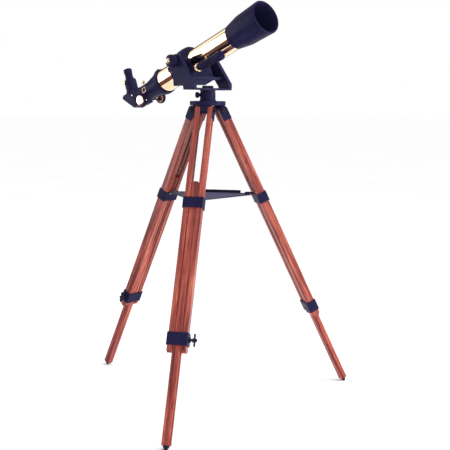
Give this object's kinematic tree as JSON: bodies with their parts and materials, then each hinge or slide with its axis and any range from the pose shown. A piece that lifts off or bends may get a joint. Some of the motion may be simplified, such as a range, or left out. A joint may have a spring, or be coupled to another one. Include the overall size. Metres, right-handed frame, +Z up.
{
  "type": "telescope on tripod",
  "caption": "Brass refracting telescope on a black fork mount, with a folding wooden tripod, sliding legs, a tray, a focuser and a star diagonal.",
  "frame": {"origin": "on the floor under the azimuth axis", "axes": "+Z up along the azimuth axis, +X the level direction in which the tube points at rest, +Y to the tube's left"},
  "size_m": [0.6806, 0.7549, 1.0704],
  "materials": {
    "black_gloss": "gloss",
    "black_plastic": "satin gloss",
    "black_inner": "matt",
    "brass": "polished",
    "copper_screw": "satin",
    "steel": "satin",
    "dark_steel": "satin",
    "mahogany": "varnished",
    "mahogany_light": "varnished",
    "optical_glass": "polished",
    "mirror": "polished"
  },
  "bodies": {
    "head": {"tripod_head": "black_gloss", "azimuth_pillar": "black_gloss", "bearing_washer": "black_plastic", "hinge_bolts": "dark_steel"},
    "azimuth_clamp": {"azimuth_clamp_knob": "black_plastic"},
    "leg_1": {"leg_1_slats": "mahogany", "leg_1_top_plates": "black_gloss", "leg_1_guide_band": "black_gloss", "leg_1_clamp_band": "black_gloss"},
    "leg_1_lower": {"leg_1_centre_slat": "mahogany_light", "leg_1_foot": "dark_steel"},
    "leg_1_wing": {"leg_1_wing_screw": "dark_steel"},
    "leg_2": {"leg_2_slats": "mahogany", "leg_2_top_plates": "black_gloss", "leg_2_guide_band": "black_gloss", "leg_2_clamp_band": "black_gloss"},
    "leg_2_lower": {"leg_2_centre_slat": "mahogany_light", "leg_2_foot": "dark_steel"},
    "leg_2_wing": {"leg_2_wing_screw": "dark_steel"},
    "leg_3": {"leg_3_slats": "mahogany", "leg_3_top_plates": "black_gloss", "leg_3_guide_band": "black_gloss", "leg_3_clamp_band": "black_gloss"},
    "leg_3_lower": {"leg_3_centre_slat": "mahogany_light", "leg_3_foot": "dark_steel"},
    "leg_3_wing": {"leg_3_wing_screw": "dark_steel"},
    "tray": {"tray": "black_gloss", "tray_pin": "steel"},
    "fork": {"azimuth_spindle": "dark_steel", "fork_plate": "black_gloss", "fork_arms": "black_gloss", "fork_bridge": "black_gloss", "fork_screws": "dark_steel"},
    "altitude_clamp": {"altitude_knob": "black_plastic"},
    "telescope": {"saddle": "black_gloss", "pivot_pins": "brass", "tube_strap": "black_gloss", "tube_screws": "copper_screw", "slow_motion_housing": "black_gloss", "main_tube": "brass", "dew_hood": "black_gloss", "lens_cell": "black_inner", "objective_lens": "optical_glass", "retaining_ring": "black_inner", "baffles": "black_inner", "focuser_body": "black_gloss", "finder_shoe": "black_gloss", "nameplate": "dark_steel"},
    "slow_motion": {"slow_motion_ferrule": "brass", "slow_motion_grip": "black_plastic"},
    "focus_lock": {"focus_lock_screw": "brass"},
    "focuser": {"drawtube": "black_inner", "focus_rack": "brass"},
    "pinion": {"pinion_shaft": "brass", "focus_knobs": "black_plastic"},
    "diagonal": {"diagonal_body": "black_gloss", "diagonal_mirror": "mirror"},
    "eyepiece": {"eyepiece": "black_plastic", "eyepiece_lens": "optical_glass"},
    "eyepiece_lock": {"eyepiece_lock_screw": "brass"}
  },
  "joints": [
    {"name": "azimuth_clamp_turn", "type": "hinge", "parent": "head", "child": "azimuth_clamp", "pos_m": [0, 0, 0.8365], "axis": [-0.4384, -0.8988, 0], "range_deg": [0, 720]},
    {"name": "leg_1_fold", "type": "hinge", "parent": "head", "child": "leg_1", "pos_m": [-0.03691, -0.00258, 0.796], "axis": [0.0698, -0.9976, 0], "range_deg": [0, 22]},
    {"name": "leg_2_fold", "type": "hinge", "parent": "head", "child": "leg_2", "pos_m": [0.02069, -0.03067, 0.796], "axis": [0.829, 0.5592, 0], "range_deg": [0, 22]},
    {"name": "leg_3_fold", "type": "hinge", "parent": "head", "child": "leg_3", "pos_m": [0.01622, 0.03325, 0.796], "axis": [-0.8988, 0.4384, 0], "range_deg": [0, 22]},
    {"name": "leg_1_extend", "type": "slide", "parent": "leg_1", "child": "leg_1_lower", "axis": [-0.4398, -0.0308, -0.8976], "range_m": [-0.16, 0.25]},
    {"name": "leg_1_wing_turn", "type": "hinge", "parent": "leg_1", "child": "leg_1_wing", "pos_m": [-0.31003, -0.02168, 0.23861], "axis": [0.0698, -0.9976, 0], "range_deg": [0, 720]},
    {"name": "leg_2_extend", "type": "slide", "parent": "leg_2", "child": "leg_2_lower", "axis": [0.2465, -0.3655, -0.8976], "range_m": [-0.16, 0.25]},
    {"name": "leg_2_wing_turn", "type": "hinge", "parent": "leg_2", "child": "leg_2_wing", "pos_m": [0.17379, -0.25766, 0.23861], "axis": [0.829, 0.5592, 0], "range_deg": [0, 720]},
    {"name": "leg_3_extend", "type": "slide", "parent": "leg_3", "child": "leg_3_lower", "axis": [0.1933, 0.3963, -0.8976], "range_m": [-0.16, 0.25]},
    {"name": "leg_3_wing_turn", "type": "hinge", "parent": "leg_3", "child": "leg_3_wing", "pos_m": [0.13624, 0.27934, 0.23861], "axis": [-0.8988, 0.4384, 0], "range_deg": [0, 720]},
    {"name": "tray_swing", "type": "hinge", "parent": "leg_1", "child": "tray", "pos_m": [-0.13028, -0.00911, 0.56122], "axis": [-0.0698, 0.9976, 0], "range_deg": [0, 113]},
    {"name": "azimuth", "type": "hinge", "parent": "head", "child": "fork", "pos_m": [0, 0, 0.85], "axis": [0, 0, 1], "continuous": true},
    {"name": "altitude", "type": "hinge", "parent": "fork", "child": "telescope", "pos_m": [-0.0512, 0, 0.9257], "axis": [0, -1, 0], "range_deg": [-11, 43.5]},
    {"name": "altitude_clamp_turn", "type": "hinge", "parent": "fork", "child": "altitude_clamp", "pos_m": [-0.0512, -0.08, 0.9257], "axis": [0, -1, 0], "range_deg": [0, 720]},
    {"name": "slow_motion_turn", "type": "hinge", "parent": "telescope", "child": "slow_motion", "pos_m": [0.00812, -0.046, 0.90607], "axis": [0.9461, 0, 0.3239], "continuous": true},
    {"name": "focus_lock_turn", "type": "hinge", "parent": "telescope", "child": "focus_lock", "pos_m": [-0.26861, -0.00469, 0.87191], "axis": [-0.362, -0.1564, 0.919], "range_deg": [0, 720]},
    {"name": "focus_slide", "type": "slide", "parent": "telescope", "child": "focuser", "axis": [-0.9304, 0, -0.3665], "range_m": [0, 0.05]},
    {"name": "pinion_turn", "type": "hinge", "parent": "telescope", "child": "pinion", "pos_m": [-0.24665, 0.00319, 0.82706], "axis": [0.0573, -0.9877, -0.1455], "range_deg": [-5, 830]},
    {"name": "diagonal_turn", "type": "hinge", "parent": "focuser", "child": "diagonal", "pos_m": [-0.2838, 0, 0.83408], "axis": [0.9304, 0, 0.3665], "continuous": true},
    {"name": "eyepiece_slide", "type": "slide", "parent": "diagonal", "child": "eyepiece", "axis": [-0.3665, 0, 0.9304], "range_m": [0, 0.03]},
    {"name": "eyepiece_lock_turn", "type": "hinge", "parent": "diagonal", "child": "eyepiece_lock", "pos_m": [-0.33596, -0.02, 0.87372], "axis": [0, -1, 0], "range_deg": [0, 720]}
  ],
  "couplings": [
    {"joint": "leg_2_fold", "follows": "leg_1_fold", "ratio": 1},
    {"joint": "leg_3_fold", "follows": "leg_1_fold", "ratio": 1},
    {"joint": "tray_swing", "follows": "leg_1_fold", "ratio": 5.1},
    {"joint": "pinion_turn", "follows": "focus_slide", "rad_per_m": 285.71}
  ]
}
